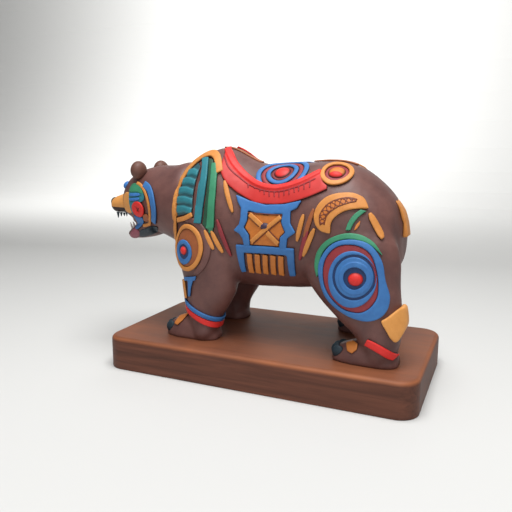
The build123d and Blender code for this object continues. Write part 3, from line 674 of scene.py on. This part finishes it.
# ------------------------------------------------------------------ slashes, crescent and stem
# Short tapered strips fill the ground between the larger figures. On the rump is an ochre crescent with a
# hatched hollow, a green stem and a small leaf.
def slash_set(name, material, slot, node, *runs):
    """Tapered strips, each given by its two ends and its width."""
    bm = bmesh.new()
    for start, end, width in runs:
        middle = [Vector(start).lerp(Vector(end), t / 6) for t in range(7)]
        strap(bm, middle, width, 2.3, taper=0.55)
    lay_on(bm, name, material, slot, node, cell=0.6, rounds=2)


slash_set("chest_slash", OCHRE, "ochre_paint", "chest_slashes", ((-49.4, 139.2), (-40.2, 121.6), 4),
          ((-43, 139), (-32.6, 118.8), 4.4))
slash_set("flank_slash", OCHRE, "ochre_paint", "flank_slashes", ((-34.4, 183.5), (-22, 156), 4.2),
          ((45.6, 157.6), (40, 134.4), 4.2), ((56, 146.5), (45, 121.4), 4.6))
slash_set("red_slash", DEEP_RED, "deep_red_paint", "red_slashes", ((-36.8, 149.6), (-25.3, 115.8), 4.2),
          ((50.4, 147), (41.2, 117.5), 4))
slash_set("tawny_slash", RUST, "deep_red_paint", "red_slashes", ((54.3, 162.5), (46.5, 136), 4))
slash_set("rump_slash_bar", OCHRE, "ochre_paint", "rump_slash", ((99.2, 160), (111.2, 139.6), 4.6))

CRESCENT_OUTER = [(69.5, 142.8), (62, 144.6), (56.8, 149.5), (55, 156.7), (56.5, 163.4), (61, 169.6),
                  (66.8, 173.4), (73.7, 175.3), (82, 175.7), (89, 173.8), (94.2, 170.2), (98.2, 163.2)]
CRESCENT_INNER = [(91, 163.3), (84, 162.5), (78.4, 160.3), (72.9, 156.1), (70.2, 151), (70.2, 144.2)]
RECESS_OUTER = [(61.5, 149.5), (60.3, 157), (65, 165.2), (72.2, 169.6), (81.5, 171.4), (88.5, 169.8)]
RECESS_INNER = [(88, 168.2), (83.3, 167.4), (75.6, 164.8), (70, 161), (66.2, 156.4), (65.2, 150)]
bm = bmesh.new()
sheet(bm, flowing(CRESCENT_OUTER) + flowing(CRESCENT_INNER), 2.6)
lay_on(bm, "crescent_figure", OCHRE, "ochre_paint", "crescent", cell=0.6)
bm = bmesh.new()
sheet(bm, flowing(RECESS_OUTER) + flowing(RECESS_INNER), 2.75)
lay_on(bm, "crescent_hollow", ORANGE, "orange_paint", "crescent", cell=0.5, rounds=2)
upper_edge = flowing(RECESS_OUTER, steps=2)
lower_edge = flowing(RECESS_INNER[::-1], steps=2)
bm = bmesh.new()
for start, end in zip(upper_edge, upper_edge[1:]):
    strap(bm, [start, end], 1.0, 3.1)
for start, end in zip(lower_edge, lower_edge[1:]):
    strap(bm, [start, end], 0.8, 3.1)
for k in range(1, len(upper_edge)):
    strap(bm, [upper_edge[k - 1], lower_edge[k]], 0.75, 3.1)
    strap(bm, [upper_edge[k], lower_edge[k - 1]], 0.75, 3.1)
lay_on(bm, "crescent_strokes", UMBER, "orange_paint", "crescent", cell=0.4, rounds=1)

bm = bmesh.new()
sheet(bm, flowing([(82.4, 146), (84, 152.3), (87.9, 159), (92.4, 162.6)])
      + flowing([(97, 161.4), (92.6, 157.8), (88.7, 152.2), (86.4, 146)]), 2.4)
lay_on(bm, "stem_leaf", GREEN, "green_paint", "stem", cell=0.6, rounds=2)
bm = bmesh.new()
sheet(bm, [(88.9, 146.2), (90.4, 151), (93.4, 154.4), (93.2, 150.6), (91, 147)], 1.4)
lay_on(bm, "small_leaf", AMBER, "ochre_paint", "rump_slash", cell=0.4, rounds=2)

# ------------------------------------------------------------------ hip roundel
# A large target of raised rings on each thigh: blue and red rings with dark grooves between them, a red boss
# in the middle, and a green arc over the top.
FAR_HIP = (-11, -3)  # the right hind leg stands further forward, and its ornaments with it
HIP_OUTER = [(61.8, 108), (63.5, 122), (73, 134.5), (88, 138.8), (103, 135), (112.5, 122.5), (116, 107),
             (120, 91.5), (116.3, 78.5), (104, 73), (85, 77.3), (69, 89)]
HIP_INNER = [(65.8, 108), (68, 122.5), (77.5, 132.8), (92, 134.6), (103.5, 128.5), (109, 116), (111.2, 103),
             (110.6, 92), (105, 83.4), (96.5, 79.6), (82.5, 82.3), (70, 94)]
TARGET = (90.4, 106.8)
GROOVE = (92.1, 108.7)
BOSS = (93.6, 107.3)


def band(bm, outer, inner, high):
    """A closed band between two flowing loops."""
    loops = []
    for points in (outer, inner):
        corners = [bm.verts.new((p[0], p[1], 0)) for p in flowing(points, closed=True)]
        loops += [bm.edges.new((corners[k - 1], corners[k])) for k in range(len(corners))]
    raise_faces(bm, bmesh.ops.bridge_loops(bm, edges=loops)["faces"], high)


bm = bmesh.new()
sheet(bm, flowing([(60, 105.5), (57.4, 114), (58.6, 125.5), (65, 135.2), (74, 141), (83.5, 143.8),
                   (92, 143.5), (99.5, 140.8), (107, 135.5), (113.6, 126)])
      + flowing([(105.5, 133.2), (98, 137), (88, 139), (80, 138), (72.5, 134.8), (65.8, 128.4), (62.4, 119.6),
                 (61.4, 108)]), 2.2)
lay_on(bm, "hip_green_arc", GREEN, "green_paint", "hip_arc", cell=0.6, far_shift=FAR_HIP)

bm = bmesh.new()
band(bm, HIP_OUTER, HIP_INNER, 2.7)
lay_on(bm, "hip_blue_band", BLUE, "blue_paint", "hip_rings", cell=0.6, far_shift=FAR_HIP)
bm = bmesh.new()
sheet(bm, flowing(HIP_INNER, closed=True), 1.6)
lay_on(bm, "hip_red_band", DEEP_RED, "deep_red_paint", "hip_red_ring", cell=0.6, far_shift=FAR_HIP)


def oval(centre, radii, count=16):
    """Points round an oval."""
    turns = [k * math.tau / count for k in range(count)]
    return [(centre[0] + radii[0] * math.cos(t), centre[1] + radii[1] * math.sin(t)) for t in turns]


bm = bmesh.new()
band(bm, oval(TARGET, (19.4, 23.3)), oval(GROOVE, (17.2, 18.6)), 2.9)
hoop(bm, GROOVE, (15.2, 16.6), (9.6, 10), 2.9)
hoop(bm, (93, 108), (12.4, 13.2), (8.9, 9.2), 3.5)
lay_on(bm, "hip_blue_rings", BLUE, "blue_paint", "hip_rings", cell=0.5, rounds=2, far_shift=FAR_HIP)
bm = bmesh.new()
hoop(bm, TARGET, (18.6, 22.4), None, 2.0)
lay_on(bm, "hip_grooves", NAVY, "blue_paint", "hip_rings", far_shift=FAR_HIP)
bm = bmesh.new()
dome(bm, BOSS, (7.2, 6.6), 5)
lay_on(bm, "hip_boss", RED, "red_paint", "hip_dome", far_shift=FAR_HIP, cell=0.5, rounds=1)

# ------------------------------------------------------------------ shoulder roundel and foreleg marks
# A smaller target faces forward on each shoulder, with a raised brown rim behind it. Below it are a blue tee
# and an ochre bar. Each hind heel has a red strap, and each paw an amber patch.
FAR_PAW = (-18, 0)  # the right hind paw stands further forward
bm = bmesh.new()
strap(bm, flowing([(-47, 147), (-38, 146.8), (-28.5, 141), (-22, 130), (-20.6, 118.5), (-24, 106.5),
                   (-32, 97.5)]), 6, 2.0, taper=0.3)
lay_on(bm, "shoulder_brown_rim", bear_paint, "bear_brown", "shoulder_ring", side=SHOULDER, rounds=4)
bm = bmesh.new()
hoop(bm, (-42, 121.5), (18.4, 22), (14.4, 17.6), 2.6)
lay_on(bm, "shoulder_ochre_ring", OCHRE, "ochre_paint", "shoulder_ring", side=SHOULDER)
bm = bmesh.new()
hoop(bm, (-42, 121.5), (14.8, 18), None, 1.2)
lay_on(bm, "shoulder_plate", RUST, "ochre_paint", "shoulder_ring", side=SHOULDER)
bm = bmesh.new()
hoop(bm, (-44, 117.4), (10.2, 11.5), (7.4, 8), 2.6)
hoop(bm, (-43.8, 118), (7.9, 8.4), (6.4, 6.6), 1.9)
lay_on(bm, "shoulder_blue_ring", BLUE, "blue_paint", "shoulder_disc", side=SHOULDER, cell=0.5, rounds=2)
bm = bmesh.new()
hoop(bm, (-44, 117.6), (8.2, 9), None, 1.7)
lay_on(bm, "shoulder_groove", NAVY, "blue_paint", "shoulder_disc", side=SHOULDER, cell=0.6)
bm = bmesh.new()
dome(bm, (-43.3, 119), (4.8, 4.9), 4.2)
lay_on(bm, "shoulder_boss", RED, "red_paint", "shoulder_dome", side=SHOULDER, cell=0.4, rounds=1)
bm = bmesh.new()
sheet(bm, [(-72, 93), (-64, 94.6), (-57, 96), (-57.9, 92.1), (-60.8, 91), (-63.5, 83.5), (-65.3, 75),
           (-67.8, 75), (-67, 84), (-67, 90.3), (-72, 89.4)], 2.2)
lay_on(bm, "tee_mark", BLUE, "blue_paint", "foreleg_tee", cell=0.5, rounds=2)
bm = bmesh.new()
strap(bm, [(-74.2, 90), (-73.8, 81), (-72.6, 71.5)], 5, 2.4, taper=0.25)
lay_on(bm, "foreleg_ochre_bar", OCHRE, "ochre_paint", "foreleg_bar", cell=0.5, rounds=2)
bm = bmesh.new()
strap(bm, flowing([(104.2, 54.8), (110, 52.6), (117, 48.8), (126, 42)]), 6.4, 2.8, taper=0.1)
lay_on(bm, "heel_strap", RED, "red_paint", "hind_strap", cell=0.5, far_shift=FAR_PAW)
bm = bmesh.new()
sheet(bm, [(-87.5, 43.5), (-85.5, 49), (-81.5, 53.5), (-77.5, 56.5), (-75, 53), (-78.5, 47.5),
           (-83, 43)], 1.8)
lay_on(bm, "fore_toe_patch", AMBER, "ochre_paint", "foreleg_bar", cell=0.5)
bm = bmesh.new()
sheet(bm, [(84.6, 47.2), (90, 49.6), (95.8, 49.8), (95.6, 45), (91.8, 41.4), (87.4, 42.4)], 1.8)
lay_on(bm, "hind_toe_patch", AMBER, "ochre_paint", "hind_strap", cell=0.5, far_shift=FAR_PAW)

# ------------------------------------------------------------------ face
# Painted strips and patches on the head: a broad blue band behind the cheek, a thin ochre trim, a green to
# blue mask with feather strokes, a red cheek roundel, a blue patch at the jaw, a pink lip and a dark chin.
bm = bmesh.new()
strap(bm, flowing([(-130.5, 177.5), (-123.5, 173.8), (-118.2, 166.5), (-115.4, 156.5), (-116.2, 147.5),
                   (-120, 140.5)]), 6.4, 2.6, taper=0.1)
lay_on(bm, "cheek_band", BLUE, "blue_paint", "head_band", cell=0.6)
bm = bmesh.new()
strap(bm, flowing([(-141, 178), (-134, 175.8), (-127, 169.5), (-122.4, 160), (-121.8, 150), (-125.5, 141),
                   (-130, 137), (-136.4, 135.4)]), 3, 2.4)
lay_on(bm, "cheek_trim", OCHRE, "ochre_paint", "head_trim", cell=0.5, rounds=2)
bm = bmesh.new()
sheet(bm, flowing([(-162, 166), (-152, 169), (-148.6, 162), (-148, 152), (-152, 147.5), (-162, 150)],
                  closed=True), 1.0)
# The muzzle root in the lighter ochre, as painted light
lay_on(bm, "muzzle_root", LIT_OCHRE, "ochre_paint", "face_mask", cell=0.6)
bm = bmesh.new()
sheet(bm, flowing([(-148, 176), (-142, 177), (-135.5, 174.5), (-130, 169), (-128.6, 163), (-134.5, 159.4),
                   (-142, 158), (-146, 153.5), (-147.6, 147), (-150, 153), (-150.8, 162), (-150.6, 171)],
                  closed=True), 1.5)
lay_on(bm, "feather_mask", LAGOON, "teal_paint", "face_mask", cell=0.5, rounds=2,
       grooves=lines(((-149, 164), (-133, 166)), ((-149, 160), (-136, 162))), groove_width=0.8,
       groove_depth=0.7)
bm = bmesh.new()
sheet(bm, flowing([(-147.6, 176.6), (-142, 177.6), (-135.5, 175.4), (-129.8, 168.6), (-133, 168.6),
                   (-140, 169.6), (-146, 169), (-150.2, 170)], closed=True), 2.0)
lay_on(bm, "green_brow", GREEN, "teal_paint", "face_mask", cell=0.5, rounds=2)
bm = bmesh.new()
strap(bm, flowing([(-149, 166.6), (-142, 166.8), (-134, 167.4)]), 2.8, 2.4, taper=0.5)
strap(bm, flowing([(-149.4, 162.2), (-142, 162.4), (-134.6, 163.4)]), 2.8, 2.4, taper=0.5)
lay_on(bm, "mask_feathers", SKY, "teal_paint", "face_mask", cell=0.45, rounds=2)
bm = bmesh.new()
hoop(bm, (-137.6, 153), (8.2, 7.6), (3.2, 2.8), 2.9)
hoop(bm, (-137.6, 153), (7.6, 7), None, 2.0)
lay_on(bm, "cheek_red_roundel", RED, "red_paint", "cheek_roundel", cell=0.5, rounds=2,
       grooves=lines(((-140.5, 156), (-137, 150.4)), ((-139.4, 151), (-136.6, 154))), groove_width=0.9,
       groove_depth=1.0)
bm = bmesh.new()
sheet(bm, flowing([(-131, 148.2), (-126, 148.2), (-125.4, 144), (-129, 140.8), (-133.6, 141.4),
                   (-133.2, 145)], closed=True), 2.2)
lay_on(bm, "cheek_drop", RUST, "ochre_paint", "head_trim", cell=0.45, rounds=2)
bm = bmesh.new()
sheet(bm, flowing([(-147, 146), (-141, 144.5), (-135.5, 144.6), (-136, 139), (-141, 134), (-147, 130.5),
                   (-150.6, 131), (-148, 136), (-146.6, 140)], closed=True), 1.6)
lay_on(bm, "jaw_hinge_patch", BLUE, "teal_paint", "face_mask", cell=0.5)
bm = bmesh.new()
sheet(bm, flowing([(-153, 131), (-148, 130), (-145, 127.6), (-150, 122.5), (-158, 119.4), (-163, 120.6),
                   (-160, 125.5), (-156, 129)], closed=True), 1.2)
lay_on(bm, "lower_lip_patch", PINK, "teal_paint", "face_mask", cell=0.5)
bm = bmesh.new()
sheet(bm, flowing([(-144, 129.5), (-135, 132.5), (-127, 135.4), (-119, 135), (-124, 129.8), (-134, 125),
                   (-145, 122), (-149, 122.6)], closed=True), 1.0)
lay_on(bm, "chin_shade_patch", BLACK_BLUE, "teal_paint", "face_mask", cell=0.5)

# ------------------------------------------------------------------ ankle bands and spine strips
# A blue and a red band round the left foreleg, and strips along the spine, glued down, rubbed over and
# painted. The right foreleg has no bands.
for name, node, paint, slot in (("blue_ankle_cord", "ankle_band_blue", BLUE, "blue_paint"),
                                ("red_ankle_cord", "ankle_band_red", RED, "red_paint")):
    cord = merged_copy(node)
    bmesh.ops.delete(cord, geom=[v for v in cord.verts if v.co.y > 0], context="VERTS")
    cord = evened(cord, 0.6 * MM, 4)
    mesh = mesh_of(cord, name)
    cord.free()
    all_top(mesh)
    finish_piece(mesh, name, paint, slot, node)
rubbed_copy("spine_strips", "spine_strip", 0.6 * MM, 5, RUST, "orange_paint")

# ------------------------------------------------------------------ dowels and screws inside
# Beech dowels hold the legs and head to the torso, and four steel screws hold the feet to the plinth.
beech, tree, shader, place = new_material("beech_dowel_wood")  # pale, with grain about 2 mm apart
fibres = add_node(tree, "ShaderNodeTexNoise", {"Scale": 500, "Detail": 3}, {"Vector": place})
tone = add_node(tree, "ShaderNodeValToRGB", links={"Fac": fibres.outputs["Fac"]})
tone.color_ramp.elements[0].color = linear("#b98d5f")
tone.color_ramp.elements[1].color = linear("#d8b384")
tree.links.new(tone.outputs["Color"], shader.inputs["Base Color"])
shader.inputs["Roughness"].default_value = 0.7

steel, tree, shader, place = new_material("zinc_plated_steel")  # dull bright metal, finely speckled
speckle = add_node(tree, "ShaderNodeTexNoise", {"Scale": 900, "Detail": 2}, {"Vector": place})
dullness = add_node(tree, "ShaderNodeMapRange", {"To Min": 0.3, "To Max": 0.5},
                    {"Value": speckle.outputs["Fac"]})
tree.links.new(dullness.outputs["Result"], shader.inputs["Roughness"])
shader.inputs["Base Color"].default_value = linear("#b4b6b8")
shader.inputs["Metallic"].default_value = 1.0

rubbed_copy("leg_pegs", "leg_dowels", 0.8 * MM, 1, beech, "dowel_wood")
rubbed_copy("neck_peg", "neck_dowel", 0.8 * MM, 1, beech, "dowel_wood")
rubbed_copy("foot_screws", "plinth_screws", 0.4 * MM, 1, steel, "screw_steel")

# ------------------------------------------------------------------ floor, light and camera
# A pale paper sweep that curves up behind, a large soft lamp above, a weaker one in front and one on the
# sweep. The camera stands a little towards the rump and looks slightly down.
SWEEP = 1.4  # how far behind the bear the paper starts to rise, and the radius of its curve
floor_paint, tree, shader, place = new_material("pale_paper")
shader.inputs["Base Color"].default_value = linear("#cfcfcd")
shader.inputs["Roughness"].default_value = 0.9
bm = bmesh.new()
bmesh.ops.create_grid(bm, x_segments=1, y_segments=60, size=6)
for v in bm.verts:
    past = max(0.0, v.co.y - SWEEP)
    turned = min(past, SWEEP * math.pi / 2)
    if past > 0:
        v.co.y = SWEEP + SWEEP * math.sin(turned / SWEEP)
        v.co.z = SWEEP * (1 - math.cos(turned / SWEEP)) + past - turned
mesh = mesh_of(bm, "floor")
bm.free()
floor = bpy.data.objects.new("floor", mesh)
mesh.materials.append(floor_paint)
bpy.context.scene.collection.objects.link(floor)

world = bpy.data.worlds.new("studio")
world.use_nodes = True
world.node_tree.nodes["Background"].inputs["Color"].default_value = (1, 1, 1, 1)
world.node_tree.nodes["Background"].inputs["Strength"].default_value = 0.24
bpy.context.scene.world = world
bpy.context.scene.view_settings.view_transform = "Standard"


def lamp(name, place, aim, size, watts):
    """A square soft lamp, pointed at aim."""
    light = bpy.data.lights.new(name, "AREA")
    light.size = size
    light.energy = watts
    holder = bpy.data.objects.new(name, light)
    holder.location = place
    holder.rotation_euler = (Vector(aim) - Vector(place)).to_track_quat("-Z", "Y").to_euler()
    bpy.context.scene.collection.objects.link(holder)


lamp("overhead", (0.1, -0.2, 1.1), (0, 0, 0.1), 0.7, 15)
lamp("front", (0.4, -1.2, 0.7), (0, 0, 0.1), 0.8, 4.4)
lamp("backdrop", (-0.9, 1.2, 1.7), (-1.2, 3.0, 0.9), 1.6, 70)

AZIMUTH = math.radians(23.94)
ELEVATION = math.radians(10.46)
AIM = Vector((-0.0216, 0, 0.1081))
DISTANCE = 0.5653
LENS = 40.09921875  # mm, on a sensor 36 mm wide
back = Vector((math.sin(AZIMUTH) * math.cos(ELEVATION), -math.cos(AZIMUTH) * math.cos(ELEVATION),
               math.sin(ELEVATION)))
camera = bpy.data.objects.new("camera", bpy.data.cameras.new("camera"))
camera.data.sensor_width = 36
camera.data.lens = LENS
camera.location = AIM + back * DISTANCE
camera.rotation_euler = (-back).to_track_quat("-Z", "Y").to_euler()
bpy.context.scene.collection.objects.link(camera)
bpy.context.scene.camera = camera
